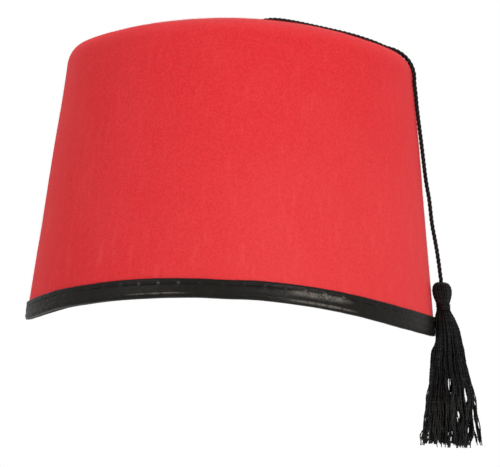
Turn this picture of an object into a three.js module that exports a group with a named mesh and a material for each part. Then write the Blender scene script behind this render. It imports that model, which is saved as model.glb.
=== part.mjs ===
// A felt fez: one heat-moulded felt crown, a vinyl binding folded round its rim, and a
// twisted cord that leaves the middle of the top and carries a tassel past the rim.
// Millimetres, +Z up. The origin is the centre of the rim's opening, where a head goes in,
// level with the lowest points of the rim, which are on the left and right sides (X).
import * as THREE from 'three';

// Felt crown
const RIM_RADIUS = 94.1;          // outside of the felt, carried down to Z = 0
const WALL_TAPER = 0.122;         // radius lost for each millimetre of height
const CORNER_HEIGHT = 126.0;      // where the wall and the top would meet if left sharp
const TOP_HEIGHT = 141.2;         // middle of the domed top, before it is pulled in
const CORNER_ROUND = 12.0;        // radius of the rounded shoulder, outside
const FELT_THICKNESS = 2.0;
const FELT_EDGE = 1.1;            // height of the felt's cut edge inside the binding
const DIMPLE_RADIUS = 14.0;       // where the cord's hole starts to pull the top in
const DIMPLE_DEPTH = 4.0;         // what the pull would reach at the very middle
const CORD_HOLE_OUTSIDE = 3.3;    // radius of the hole on the outside of the top
const CORD_HOLE_INSIDE = 1.6;
const RIM_BOW = 14.2;             // how far the front and back of the rim rise over its sides
const RIM_SKEW = 3.4;             // how much more of that rise there is towards the left
const CORNER_BOW = 9.8;           // the rise at the shoulder

// Binding, measured from the outside of the felt
const BINDING_HEIGHT = 9.0;
const BINDING_INSIDE_HEIGHT = 8.2;
const BINDING_THICKNESS = 0.65;
const BINDING_GAP = 0.3;
const BINDING_FLOOR = 0.8;        // thickness of the fold under the felt's edge
const BINDING_FOLD = 1.2;         // height at which the rounded fold becomes straight

// Cord
const CORD_DIAMETER = 2.0;
const CORD_SIDES = 8;
const CORD_STEPS = 56;
const KNOT_RADIUS = 2.6;
const KNOT_CENTRE = 133.6;
const TASSEL_Y = -14.0;           // the tassel hangs a little in front of the side's middle

// Facets
const ROUND_SEGMENTS = 64;
const TASSEL_SEGMENTS = 24;
const WALL_STEPS = 3;
const CORNER_STEPS = 5;
const TOP_STEPS = 4;
const DIMPLE_STEPS = 4;

// Points that the middle of the cord passes through, from the hole in the top to the tassel.
const CORD_ROUTE = [
  { x: 0.0, y: 0.0, z: 136.5 },
  { x: 0.14, y: 0.0, z: 137.5 },
  { x: 0.6, y: -0.1, z: 138.5 },
  { x: 1.25, y: -0.2, z: 139.35 },
  { x: 2.1, y: -0.4, z: 140.0 },
  { x: 3.2, y: -0.6, z: 140.45 },
  { x: 5.0, y: -0.9, z: 140.95 },
  { x: 7.0, y: -1.2, z: 141.45 },
  { x: 9.0, y: -1.6, z: 141.95 },
  { x: 11.5, y: -2.0, z: 142.5 },
  { x: 14.5, y: -2.5, z: 142.75 },
  { x: 18.5, y: -3.2, z: 142.55 },
  { x: 24.0, y: -4.2, z: 141.8 },
  { x: 31.5, y: -5.5, z: 140.45 },
  { x: 40.0, y: -6.9, z: 138.8 },
  { x: 48.0, y: -8.3, z: 137.15 },
  { x: 55.0, y: -9.5, z: 135.4 },
  { x: 61.0, y: -10.6, z: 133.65 },
  { x: 66.0, y: -11.4, z: 131.85 },
  { x: 70.2, y: -12.1, z: 130.65 },
  { x: 73.8, y: -12.7, z: 128.8 },
  { x: 76.6, y: -13.1, z: 126.3 },
  { x: 78.6, y: -13.4, z: 123.3 },
  { x: 79.8, y: -13.6, z: 119.7 },
  { x: 80.2, y: -13.6, z: 115.5 },
  { x: 81.0, y: -13.7, z: 110.0 },
  { x: 82.0, y: -13.7, z: 101.5 },
  { x: 83.4, y: -13.8, z: 91.7 },
  { x: 85.0, y: -13.8, z: 81.5 },
  { x: 86.7, y: -13.9, z: 71.0 },
  { x: 88.6, y: -13.9, z: 62.0 },
  { x: 90.2, y: -14.0, z: 51.5 },
  { x: 92.3, y: -14.0, z: 42.0 },
  { x: 93.9, y: -14.0, z: 34.0 },
  { x: 94.9, y: -14.0, z: 28.0 },
  { x: 95.5, y: -14.0, z: 24.65 },
];

// The tassel's middle line: it leans out round the rim, then falls.
const TASSEL_LINE = [
  { z: 24.3, x: 95.6 },
  { z: 20.4, x: 96.0 },
  { z: 15.5, x: 96.8 },
  { z: 11.8, x: 97.4 },
  { z: 8.1, x: 98.2 },
  { z: 4.5, x: 98.95 },
  { z: 0.8, x: 99.6 },
  { z: -2.8, x: 99.7 },
  { z: -6.5, x: 100.05 },
  { z: -12.0, x: 100.2 },
  { z: -17.0, x: 100.9 },
  { z: -23.0, x: 101.6 },
  { z: -37.0, x: 102.1 },
  { z: -51.0, x: 102.7 },
];

// Sections of the tassel's pieces, from the bottom up.
const HEAD_SECTIONS = [
  { radius: 3.1, z: 15.9 },
  { radius: 3.7, z: 17.0 },
  { radius: 4.2, z: 18.4 },
  { radius: 4.6, z: 20.2 },
  { radius: 4.45, z: 21.8 },
  { radius: 3.7, z: 23.2 },
  { radius: 2.3, z: 24.1 },
  { radius: 1.2, z: 24.3 },
];

const NECK_SECTIONS = [
  { radius: 3.0, z: 12.2 },
  { radius: 3.25, z: 13.0 },
  { radius: 3.15, z: 14.4 },
  { radius: 3.2, z: 15.2 },
  { radius: 3.0, z: 15.6 },
];

const SKIRT_SECTIONS = [
  { radius: 13.5, z: -51.0 },
  { radius: 13.3, z: -45.0 },
  { radius: 11.7, z: -37.0 },
  { radius: 11.2, z: -30.0 },
  { radius: 10.0, z: -23.0 },
  { radius: 8.6, z: -17.0 },
  { radius: 7.9, z: -12.0 },
  { radius: 7.1, z: -6.5 },
  { radius: 6.35, z: -2.8 },
  { radius: 5.5, z: 0.8 },
  { radius: 5.25, z: 4.5 },
  { radius: 4.6, z: 8.1 },
  { radius: 3.9, z: 10.0 },
  { radius: 3.2, z: 11.9 },
];

const redFelt = { color: 0xd62f37, roughness: 0.95, metalness: 0 };
const blackVinyl = { color: 0x1b1a19, roughness: 0.4, metalness: 0 };
const blackYarn = { color: 0x111010, roughness: 0.7, metalness: 0 };

// Where the rounded shoulder's arc has its centre, and the radius of the dome over the top.
function shoulder() {
  const cornerRadius = RIM_RADIUS - WALL_TAPER * CORNER_HEIGHT;
  const rise = TOP_HEIGHT - CORNER_HEIGHT;
  const domeRadius = (cornerRadius ** 2 + rise ** 2) / (2 * rise);
  const domeCentre = TOP_HEIGHT - domeRadius;
  const wallSpan = RIM_RADIUS - CORNER_ROUND * Math.hypot(1, WALL_TAPER);
  const a = WALL_TAPER ** 2 + 1;
  const b = -2 * WALL_TAPER * wallSpan - 2 * domeCentre;
  const c = wallSpan ** 2 + domeCentre ** 2 - (domeRadius - CORNER_ROUND) ** 2;
  const z = (-b + Math.sqrt(b * b - 4 * a * c)) / (2 * a);
  const radius = wallSpan - WALL_TAPER * z;
  const fromWall = Math.atan(WALL_TAPER);
  const toDome = Math.atan2(z - domeCentre, radius);
  return { radius, z, fromWall, toDome, domeRadius, domeCentre };
}

// The crown's section from its cut edge up to the cord's hole, set in from the outside.
function crownSection(inset, holeRadius) {
  const corner = shoulder();
  const points = [];
  const wallInset = inset * Math.hypot(1, WALL_TAPER);
  const cornerRound = CORNER_ROUND - inset;
  const wallTop = corner.z + cornerRound * Math.sin(corner.fromWall);
  for (let i = 0; i < WALL_STEPS; i += 1) {
    const z = THREE.MathUtils.lerp(FELT_EDGE, wallTop, i / WALL_STEPS);
    points.push(new THREE.Vector2(RIM_RADIUS - wallInset - WALL_TAPER * z, z));
  }
  for (let i = 0; i < CORNER_STEPS; i += 1) {
    const angle = THREE.MathUtils.lerp(corner.fromWall, corner.toDome, i / CORNER_STEPS);
    const radius = corner.radius + cornerRound * Math.cos(angle);
    points.push(new THREE.Vector2(radius, corner.z + cornerRound * Math.sin(angle)));
  }
  const domeRadius = corner.domeRadius - inset;
  const dimpleAngle = Math.acos(DIMPLE_RADIUS / domeRadius);
  for (let i = 0; i < TOP_STEPS; i += 1) {
    const angle = THREE.MathUtils.lerp(corner.toDome, dimpleAngle, i / TOP_STEPS);
    const z = corner.domeCentre + domeRadius * Math.sin(angle);
    points.push(new THREE.Vector2(domeRadius * Math.cos(angle), z));
  }
  for (let i = 0; i <= DIMPLE_STEPS; i += 1) {
    const radius = THREE.MathUtils.lerp(DIMPLE_RADIUS, holeRadius, i / DIMPLE_STEPS);
    const dome = corner.domeCentre + Math.sqrt(domeRadius ** 2 - radius ** 2);
    const pull = DIMPLE_DEPTH * (1 - radius / DIMPLE_RADIUS) ** 2;
    points.push(new THREE.Vector2(radius, dome - pull));
  }
  return points;
}

// Raises the front and back of what was turned about Z, most at the rim.
function bow(geometry) {
  const position = geometry.attributes.position;
  for (let i = 0; i < position.count; i += 1) {
    const x = position.getX(i);
    const y = position.getY(i);
    const z = position.getZ(i);
    const wallRadius = RIM_RADIUS - WALL_TAPER * z;
    const upTheWall = THREE.MathUtils.clamp(z / CORNER_HEIGHT, 0, 1);
    const rimRise = RIM_BOW - RIM_SKEW * (x / wallRadius);
    const rise = THREE.MathUtils.lerp(rimRise, CORNER_BOW, upTheWall);
    position.setZ(i, z + rise * (y / wallRadius) ** 2);
  }
  return geometry;
}

// Turns a section, given as radius and height, about the Z axis.
function turn(points, segments) {
  return new THREE.LatheGeometry(points, segments).rotateX(Math.PI / 2);
}

function crown() {
  const outside = crownSection(0, CORD_HOLE_OUTSIDE);
  const inside = crownSection(FELT_THICKNESS, CORD_HOLE_INSIDE);
  const section = [...outside, ...inside.reverse(), outside[0]];
  return bow(turn(section, ROUND_SEGMENTS));
}

// A strip folded round the felt's edge: up the outside, under the edge and up the inside.
function brimBinding() {
  const outer = BINDING_GAP + BINDING_THICKNESS;
  const behindFelt = -FELT_THICKNESS - BINDING_GAP;
  const inner = behindFelt - BINDING_THICKNESS;
  const half = BINDING_FOLD / 2;
  const corners = [
    { out: outer, z: BINDING_FOLD },
    { out: outer, z: BINDING_HEIGHT },
    { out: BINDING_GAP, z: BINDING_HEIGHT },
    { out: BINDING_GAP, z: BINDING_FLOOR },
    { out: behindFelt, z: BINDING_FLOOR },
    { out: behindFelt, z: BINDING_INSIDE_HEIGHT },
    { out: inner, z: BINDING_INSIDE_HEIGHT },
    { out: inner, z: BINDING_FOLD },
    { out: inner + half * 0.6, z: half * 0.5 },
    { out: inner + BINDING_FOLD, z: 0 },
    { out: outer - BINDING_FOLD, z: 0 },
    { out: outer - half * 0.6, z: half * 0.5 },
    { out: outer, z: BINDING_FOLD },
  ];
  const section = corners.map(({ out, z }) => (
    new THREE.Vector2(RIM_RADIUS - WALL_TAPER * z + out, z)));
  return bow(turn(section, ROUND_SEGMENTS));
}

function tasselCord() {
  const section = new THREE.Shape();
  section.absarc(0, 0, CORD_DIAMETER / 2, 0, 2 * Math.PI);
  const route = CORD_ROUTE.map(({ x, y, z }) => new THREE.Vector3(x, y, z));
  return new THREE.ExtrudeGeometry(section, {
    steps: CORD_STEPS,
    curveSegments: CORD_SIDES,
    extrudePath: new THREE.CatmullRomCurve3(route),
  });
}

// The knot that keeps the cord's end from slipping back out through the hole.
function cordKnot() {
  return new THREE.SphereGeometry(KNOT_RADIUS, 14, 8)
    .rotateX(Math.PI / 2)
    .translate(0, 0, KNOT_CENTRE);
}

// Where the tassel's middle line is at a height.
function tasselLineX(z) {
  const below = TASSEL_LINE.findIndex((row) => row.z <= z);
  const lower = TASSEL_LINE[Math.max(below, 1)];
  const upper = TASSEL_LINE[Math.max(below, 1) - 1];
  const part = (z - lower.z) / (upper.z - lower.z);
  return THREE.MathUtils.lerp(lower.x, upper.x, part);
}

// A round piece of the tassel, with each height moved onto the middle line.
function tasselPiece(sections) {
  const lowest = sections[0];
  const highest = sections[sections.length - 1];
  const points = [
    new THREE.Vector2(0, lowest.z),
    ...sections.map(({ radius, z }) => new THREE.Vector2(radius, z)),
    new THREE.Vector2(0, highest.z),
  ];
  const geometry = turn(points, TASSEL_SEGMENTS);
  const position = geometry.attributes.position;
  for (let i = 0; i < position.count; i += 1) {
    position.setX(i, position.getX(i) + tasselLineX(position.getZ(i)));
  }
  return geometry.translate(0, TASSEL_Y, 0);
}

const hat = new THREE.Group();

function add(name, geometry, finish) {
  const piece = new THREE.Mesh(geometry, new THREE.MeshStandardMaterial(finish));
  piece.name = name;
  hat.add(piece);
}

add('crown', crown(), redFelt);
add('brim_binding', brimBinding(), blackVinyl);
add('tassel_cord', tasselCord(), blackYarn);
add('cord_knot', cordKnot(), blackYarn);
add('tassel_head', tasselPiece(HEAD_SECTIONS), blackYarn);
add('tassel_neck', tasselPiece(NECK_SECTIONS), blackYarn);
add('tassel_skirt', tasselPiece(SKIRT_SECTIONS), blackYarn);

export default hat;
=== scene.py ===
"""A felt fez with a vinyl-bound rim, a twisted cord and a silky tassel, in metres."""
import math

import bpy
import numpy as np
from bpy.props import FloatProperty, FloatVectorProperty, IntProperty, PointerProperty
from mathutils import Matrix, Vector, noise


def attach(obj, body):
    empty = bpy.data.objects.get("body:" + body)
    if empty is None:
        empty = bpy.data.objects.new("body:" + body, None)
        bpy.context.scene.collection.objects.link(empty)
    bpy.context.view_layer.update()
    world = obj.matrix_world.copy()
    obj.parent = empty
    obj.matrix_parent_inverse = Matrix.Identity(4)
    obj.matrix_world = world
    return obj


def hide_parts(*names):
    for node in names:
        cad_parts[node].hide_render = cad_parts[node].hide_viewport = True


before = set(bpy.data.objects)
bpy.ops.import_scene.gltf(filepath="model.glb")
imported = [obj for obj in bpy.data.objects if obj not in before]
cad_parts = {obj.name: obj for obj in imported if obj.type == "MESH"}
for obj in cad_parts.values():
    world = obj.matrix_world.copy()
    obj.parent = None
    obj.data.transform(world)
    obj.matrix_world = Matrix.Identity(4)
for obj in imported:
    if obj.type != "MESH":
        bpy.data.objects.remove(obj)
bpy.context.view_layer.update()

bl_info = {
    "name": "Felt fez",
    "version": (1, 0, 0),
    "blender": (4, 5, 0),
    "location": "3D View > Sidebar > Fez",
    "description": "Makes the pieces of a felt fez with a bound rim and a tassel",
    "category": "Add Mesh",
}

BODY = "root"

# Points that the middle of the cord passes through, from the hole in the top to the tassel.
CORD_ROUTE = (
    (0.0000, 0.0000, 0.1365),
    (0.00014, 0.0000, 0.1375),
    (0.0006, -0.0001, 0.1385),
    (0.00125, -0.0002, 0.13935),
    (0.0021, -0.0004, 0.1400),
    (0.0032, -0.0006, 0.14045),
    (0.0050, -0.0009, 0.14095),
    (0.0070, -0.0012, 0.14145),
    (0.0090, -0.0016, 0.14195),
    (0.0115, -0.0020, 0.1425),
    (0.0145, -0.0025, 0.14275),
    (0.0185, -0.0032, 0.14255),
    (0.0240, -0.0042, 0.1418),
    (0.0315, -0.0055, 0.14045),
    (0.0400, -0.0069, 0.1388),
    (0.0480, -0.0083, 0.13715),
    (0.0550, -0.0095, 0.1354),
    (0.0610, -0.0106, 0.13365),
    (0.0660, -0.0114, 0.13185),
    (0.0702, -0.0121, 0.13065),
    (0.0738, -0.0127, 0.1288),
    (0.0766, -0.0131, 0.1263),
    (0.0786, -0.0134, 0.1233),
    (0.0798, -0.0136, 0.1197),
    (0.0802, -0.0136, 0.1155),
    (0.0810, -0.0137, 0.1100),
    (0.0820, -0.0137, 0.1015),
    (0.0834, -0.0138, 0.0917),
    (0.0850, -0.0138, 0.0815),
    (0.0867, -0.0139, 0.0710),
    (0.0886, -0.0139, 0.0620),
    (0.0902, -0.0140, 0.0515),
    (0.0923, -0.0140, 0.0420),
    (0.0939, -0.0140, 0.0340),
    (0.0949, -0.0140, 0.0280),
    (0.0955, -0.0140, 0.02465),
)

# Where the cord runs on, hidden inside the tassel.
CORD_IN_TASSEL = (
    (0.0961, -0.0140, 0.0200),
    (0.0975, -0.0140, 0.0118),
    (0.0988, -0.0140, 0.0045),
    (0.0996, -0.0140, -0.0020),
)

# The tassel's middle line: height and x.
TASSEL_LINE = (
    (-0.0510, 0.1019),
    (-0.0370, 0.1018),
    (-0.0230, 0.1014),
    (-0.0170, 0.1007),
    (-0.0120, 0.0999),
    (-0.0065, 0.0998),
    (-0.0028, 0.09945),
    (0.0008, 0.0992),
    (0.0045, 0.09855),
    (0.0081, 0.0978),
    (0.0118, 0.0970),
    (0.0155, 0.0965),
    (0.0204, 0.0960),
    (0.0243, 0.0956),
)

# The tassel's outer form: height and radius, up the skirt and then up the head.
SKIRT_FORM = (
    (-0.0525, 0.0136),
    (-0.0450, 0.0135),
    (-0.0370, 0.0120),
    (-0.0300, 0.0114),
    (-0.0230, 0.0101),
    (-0.0170, 0.0087),
    (-0.0120, 0.0082),
    (-0.0065, 0.0074),
    (-0.0028, 0.0066),
    (0.0008, 0.0062),
    (0.0045, 0.0057),
    (0.0081, 0.0048),
    (0.0100, 0.0041),
    (0.0119, 0.0034),
)
HEAD_FORM = (
    (0.0156, 0.0032),
    (0.0170, 0.0037),
    (0.0184, 0.0042),
    (0.0204, 0.0045),
    (0.0216, 0.0044),
    (0.0228, 0.0041),
    (0.0238, 0.0035),
    (0.0244, 0.0022),
    (0.0246, 0.0008),
)

# Partings in the skirt: offset from its middle, height, half their length and half their width.
SKIRT_PARTINGS = (
    (-0.0003, -0.0215, 0.0048, 0.0009),
    (0.0036, -0.0365, 0.0040, 0.0010),
    (0.0074, -0.0260, 0.0050, 0.0009),
    (0.0082, -0.0420, 0.0050, 0.0009),
    (0.0006, -0.0480, 0.0055, 0.0010),
    (-0.0085, -0.0470, 0.0050, 0.0009),
    (-0.0045, -0.0485, 0.0030, 0.0008),
)

# Small kinks across the rim: x, and how far the edge is lifted there.
RIM_KINKS = (
    (-0.0940, 0.0002),
    (-0.0880, 0.0007),
    (-0.0780, 0.0012),
    (-0.0620, 0.0004),
    (-0.0360, -0.0003),
    (0.0000, -0.0001),
    (0.0130, 0.0006),
    (0.0300, 0.0008),
    (0.0480, 0.0009),
    (0.0620, 0.0005),
    (0.0760, -0.0001),
    (0.0940, -0.0003),
)

# How tall the binding is along the rim: x, and its share of the full height.
BINDING_SHARE = (
    (-0.0870, 0.940),
    (-0.0710, 0.930),
    (-0.0500, 0.945),
    (-0.0350, 0.940),
    (-0.0160, 0.890),
    (-0.0040, 0.885),
    (0.0100, 0.915),
    (0.0300, 0.950),
    (0.0530, 0.985),
    (0.0760, 1.020),
    (0.0900, 1.000),
)

# Highlights painted on the binding, where its folds and glossy face would catch the light: turn,
# reach along the rim, height, half width and strength.
PAINTED_GLINT_MARKS = (
    (0.6945, 0.028, 0.0017, 0.00045, 0.9),
    (0.8200, 0.031, 0.0013, 0.00060, 1.0),
    (0.8190, 0.027, 0.0052, 0.00150, 1.15),
)

# The binding's outside face: height above the fold, and how far it stands off the felt.
BINDING_FACE = (
    (0.0004, 0.00015),
    (0.0010, 0.00042),
    (0.0014, 0.00058),
    (0.0018, 0.00068),
    (0.0022, 0.00067),
    (0.0028, 0.00058),
    (0.0040, 0.00070),
    (0.0052, 0.00092),
    (0.0062, 0.00078),
    (0.0067, 0.00062),
    (0.0073, 0.00080),
    (0.0080, 0.00095),
    (0.0086, 0.00092),
    (0.0089, 0.00074),
)


# The felt's cut edge and the cord's hole. The lip is a radius and a depth, from the outside in.
FELT_EDGE = 0.0011
HOLE_RADIUS_OUTSIDE = 0.0034
HOLE_RADIUS = 0.0014
HOLE_LIP = ((0.0026, 0.0004), (0.0020, 0.0010), (0.0016, 0.0016))
FELT_COLUMNS = 384
FUZZ_COLUMNS = 128
FUZZ_WIDTH = 0.000016

# Fibre shading
FELT_MOTTLE_SCALE = 420.0
FELT_STREAK_SCALE = 330.0
FELT_FINE_SCALE = 2600.0
FELT_GRAIN_SCALE = 1100.0
FIBRES_PER_METRE = 1000.0 / 1.1
FELT_BUMP = 0.00018
FINE_BUMP = 0.0001

# Stitches and the vinyl round them
STITCH_STAND_OFF = 0.00072
STITCH_RISE = 0.00016
PUCKER_RISE = 0.00034
PUCKER_DIP = 0.00005
PUCKER_HALF_HEIGHT = 0.0007
BINDING_COLUMNS_PER_STITCH = 14

# The cord, its knot inside the top and its lie against the felt
CORD_START = (0.0, 0.0, 0.1345)
CORD_STEP = 0.00035
CORD_PRESS = 0.00042
KNOT_SIZE = 0.00085
KNOT_HEIGHT = 0.1335

# The tassel: where it hangs, and the cone round the binding that its strands keep out of
TASSEL_Y = -0.014
RIM_CLEAR = 0.0954
RIM_CLEAR_TAPER = 0.122
CLEAR_FADE = 0.006
STRAND_STEP = 0.0012
STRAND_SIDES = 6
STRAND_END_WIDTH = 0.75
GOLDEN_TURN = 2.39996
HEAD_YARN = 0.00108
NECK_YARN = 0.00072
NECK_RADIUS = 0.00295
NECK_LOW, NECK_HIGH = 0.0121, 0.0152
NECK_CORE = ((0.0112, 0.0028), (0.0157, 0.0028))
CORE_SIDES = 20
HEAD_CORE_SHARE = 0.86

# The studio's lights: name, place, width and power.
LIGHTS = (
    ("key light", (0.90, -1.38, -0.1), 0.6, 11.5),
    ("fill light", (-1.37, -1.16, 0.2), 0.5, 5.6),
    ("top light", (0.1, 0.3, 1.5), 1.0, 9.0),
)
LIGHT_AIM = (0.0, 0.0, 0.06)
WHITE_SEEN = 1.0
WHITE_LIT = 0.67
FLOOR_REACH = 4.4
FLOOR_SIDES = 64


# ---------------------------------------------------------------- settings


def length(label, what, default):
    return FloatProperty(name=label, description=what, default=default, unit="LENGTH", precision=5)


def colour(label, what, default):
    return FloatVectorProperty(
        name=label, description=what, default=default, subtype="COLOR", min=0.0, max=1.0)


class FezCrownSettings(bpy.types.PropertyGroup):
    rim_radius: length("Rim radius", "Outside of the felt, carried down to the rim", 0.0941)
    taper: FloatProperty(
        name="Taper", description="Radius lost for each metre of height", default=0.122)
    corner_height: length("Corner height", "Where wall and top would meet if left sharp", 0.1260)
    top_height: length("Top height", "Height of the middle of the top, undimpled", 0.1412)
    corner_round: length("Corner round", "Radius of the rounded shoulder", 0.0120)
    felt_thickness: length("Felt thickness", "Thickness of the felt", 0.002)
    rim_bow: length("Rim bow", "Rise of the rim's front and back over its sides", 0.0142)
    rim_skew: length("Rim skew", "How much more of that rise there is to the left", 0.0034)
    corner_bow: length("Corner bow", "The rise at the shoulder", 0.0098)
    dimple_radius: length("Dimple radius", "Where the cord starts to pull the top in", 0.014)
    dimple_depth: length("Dimple depth", "What the pull would reach in the middle", 0.004)
    lump: length("Lumps", "Depth of the soft unevenness of the felt", 0.00022)
    fuzz_length: length("Fuzz length", "Length of the loose fibres", 0.0008)
    fuzz_count: IntProperty(
        name="Fuzz count", description="Loose fibres on the wall", default=44000)
    felt_colour: colour("Felt colour", "Colour of the felt", (0.71, 0.0185, 0.0248))
    light_colour: colour(
        "Light fibres", "Colour of the felt's lighter fibres", (0.80, 0.075, 0.073))


class FezBindingSettings(bpy.types.PropertyGroup):
    height: length("Height", "Height of the binding on the outside", 0.009)
    inside_height: length("Inside height", "Height of the binding on the inside", 0.0082)
    stitches: IntProperty(name="Stitches", description="Stitches round the rim", default=63)
    stitch_height: length("Stitch height", "Height of the stitches over the fold", 0.0067)
    stitch_start: FloatProperty(
        name="Stitch start", description="How far on the first stitch is, in stitches", default=0.3)
    stitch_length: length("Stitch length", "Length of thread that shows", 0.0070)
    thread: length("Thread", "Diameter of the sewing thread", 0.00042)
    vinyl_colour: colour("Vinyl colour", "Colour of the binding", (0.0076, 0.0062, 0.0046))
    # Pale colour that paints highlights on the vinyl's folds and puckers.
    rubbed_colour: colour(
        "Rubbed colour", "Colour where the vinyl is rubbed", (0.155, 0.138, 0.118))


class FezTasselSettings(bpy.types.PropertyGroup):
    cord_diameter: length("Cord diameter", "Diameter over the cord's strands", 0.002)
    cord_lead: length("Cord lead", "Length of one turn of the cord's strands", 0.0066)
    yarn: length("Yarn", "Diameter of the tassel's yarn", 0.0008)
    yarn_lead: length("Yarn lead", "Length of one turn of the yarn's twist", 0.0034)
    skirt_strands: IntProperty(
        name="Skirt strands", description="Strands in the tassel's skirt", default=270)
    skirt_end: length("Skirt end", "Height at which the strands are cut", -0.0498)
    locks: IntProperty(name="Locks", description="Locks the strands are drawn into", default=19)
    lock_pull: FloatProperty(
        name="Lock pull", description="How strongly the strands gather in locks", default=0.86)
    head_strands: IntProperty(
        name="Head strands", description="Strands over the tassel's head", default=26)
    neck_turns: IntProperty(
        name="Neck turns", description="Turns of thread round the neck", default=5)
    seed: IntProperty(name="Seed", description="Changes how the strands fall", default=7)
    yarn_colour: colour(
        "Yarn colour", "Colour of the cord and the tassel", (0.0042, 0.0034, 0.0033))
    # Colour of lighter brownish tufts low in the skirt.
    lower_tuft_colour: colour("Dry colour", "Colour of the skirt's drier tufts", (0.019, 0.018, 0.016))


class FezStageSettings(bpy.types.PropertyGroup):
    distance: length("Distance", "From the camera to the hat's middle", 1.6)
    eye_height: length("Eye height", "Height of the camera over the rim", 0.020)
    aim_x: length("Aim X", "Where the camera looks, across", 0.00728)
    aim_z: length("Aim Z", "Where the camera looks, up", 0.0439)
    view_width: length("View width", "Width that the view takes in at the hat", 0.2305)
    roll: FloatProperty(
        name="Roll", description="Lean of the camera", default=math.radians(2.21),
        subtype="ANGLE")
    floor_depth: length("Floor depth", "Height of the rim over the floor", 2.6)


# ---------------------------------------------------------------- meshes


def link_object(name, data):
    piece = bpy.data.objects.new(name, data)
    bpy.context.scene.collection.objects.link(piece)
    return piece


def mark(mesh, label, values, kind="FLOAT"):
    """Stores a value for each of a mesh's points."""
    attribute = mesh.attributes.new(label, kind, "POINT")
    attribute.data.foreach_set("value" if kind == "FLOAT" else "vector", values)


def link_mesh(name, points, faces, material, smooth=True):
    mesh = bpy.data.meshes.new(name)
    mesh.from_pydata([tuple(p) for p in points], [], faces)
    mesh.update()
    piece = link_object(name, mesh)
    if material:
        mesh.materials.append(material)
    if smooth:
        mesh.shade_smooth()
    return piece


def grid_faces(rows, columns, close_rows=True):
    """Quads over columns of points that go all round the hat, each with the same rows."""
    faces = []
    for i in range(columns):
        nearer = i * rows
        further = (i + 1) % columns * rows
        for j in range(rows if close_rows else rows - 1):
            k = (j + 1) % rows
            faces.append((nearer + j, further + j, further + k, nearer + k))
    return faces


def ring_faces(start, rings, sides):
    """Faces of a closed tube over rings of points, whose first point has the number start."""
    faces = []
    for i in range(rings - 1):
        for j in range(sides):
            a = start + i * sides + j
            b = start + i * sides + (j + 1) % sides
            faces.append((a, b, b + sides, a + sides))
    faces.append(tuple(start + j for j in reversed(range(sides))))
    faces.append(tuple(start + (rings - 1) * sides + j for j in range(sides)))
    return faces


def between(table, at):
    """A value from a table of places and values, straight between its rows."""
    rows = np.array(table)
    return np.interp(at, rows[:, 0], rows[:, 1])


def distance_along(line):
    return np.concatenate([[0], np.cumsum(np.linalg.norm(np.diff(line, axis=0), axis=1))])


def look_up(table, height):
    """A value from a table of heights and values, eased between its rows."""
    rows = np.array(table)
    fine = np.linspace(rows[0, 0], rows[-1, 0], 200)
    values = np.interp(fine, rows[:, 0], rows[:, 1])
    kernel = np.hanning(15)
    kernel /= kernel.sum()
    padded = np.pad(values, 7, mode="edge")
    eased = np.convolve(padded, kernel, mode="valid")
    return np.interp(height, fine, eased)


def smooth_route(points, step):
    """A curve through the points, as in the cord's own construction, at an even spacing."""
    knots = np.array(points)
    line = []
    padded = np.vstack([2 * knots[0] - knots[1], knots, 2 * knots[-1] - knots[-2]])
    for a, b, c, d in zip(padded, padded[1:], padded[2:], padded[3:]):
        t1 = np.sqrt(np.linalg.norm(b - a))
        t2 = t1 + np.sqrt(np.linalg.norm(c - b))
        t3 = t2 + np.sqrt(np.linalg.norm(d - c))
        for t in np.linspace(t1, t2, 12, endpoint=False):
            ab = (t1 - t) / t1 * a + t / t1 * b
            bc = (t2 - t) / (t2 - t1) * b + (t - t1) / (t2 - t1) * c
            cd = (t3 - t) / (t3 - t2) * c + (t - t2) / (t3 - t2) * d
            abc = (t2 - t) / t2 * ab + t / t2 * bc
            bcd = (t3 - t) / (t3 - t1) * bc + (t - t1) / (t3 - t1) * cd
            line.append((t2 - t) / (t2 - t1) * abc + (t - t1) / (t2 - t1) * bcd)
    line.append(knots[-1])
    line = np.array(line)
    along = distance_along(line)
    at = np.linspace(0, along[-1], int(along[-1] / step) + 1)
    return np.stack([np.interp(at, along, line[:, k]) for k in range(3)], axis=1)


def frames_along(line):
    """Two directions across a line at each of its points, carried along without twist."""
    ahead = np.gradient(line, axis=0)
    ahead /= np.linalg.norm(ahead, axis=1)[:, None]
    side = np.cross(ahead[0], (0.0, 1.0, 0.3))
    across = []
    for direction in ahead:
        side = side - direction * (side @ direction)
        side /= np.linalg.norm(side)
        across.append(side)
    across = np.array(across)
    return across, np.cross(ahead, across)


# ---------------------------------------------------------------- node trees


class Tree:
    """Adds nodes to a tree and links them in a line of calls."""

    def __init__(self, tree):
        self.tree = tree

    def add(self, kind, settings=None, **inputs):
        node = self.tree.nodes.new(kind)
        for key, value in (settings or {}).items():
            setattr(node, key, value)
        for key, value in inputs.items():
            self.put(node.inputs[self.socket(node, key)], value)
        return node

    def socket(self, node, key):
        if key.startswith("in") and key[2:].isdigit():
            return int(key[2:])
        return key.replace("_", " ")

    def put(self, socket, value):
        if isinstance(value, bpy.types.NodeSocket):
            self.tree.links.new(value, socket)
        elif isinstance(value, bpy.types.Node):
            self.tree.links.new(value.outputs[0], socket)
        else:
            socket.default_value = value

    def maths(self, operation, a, b=0.0, c=0.0):
        return self.add(
            "ShaderNodeMath", {"operation": operation}, in0=a, in1=b, in2=c).outputs[0]


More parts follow.
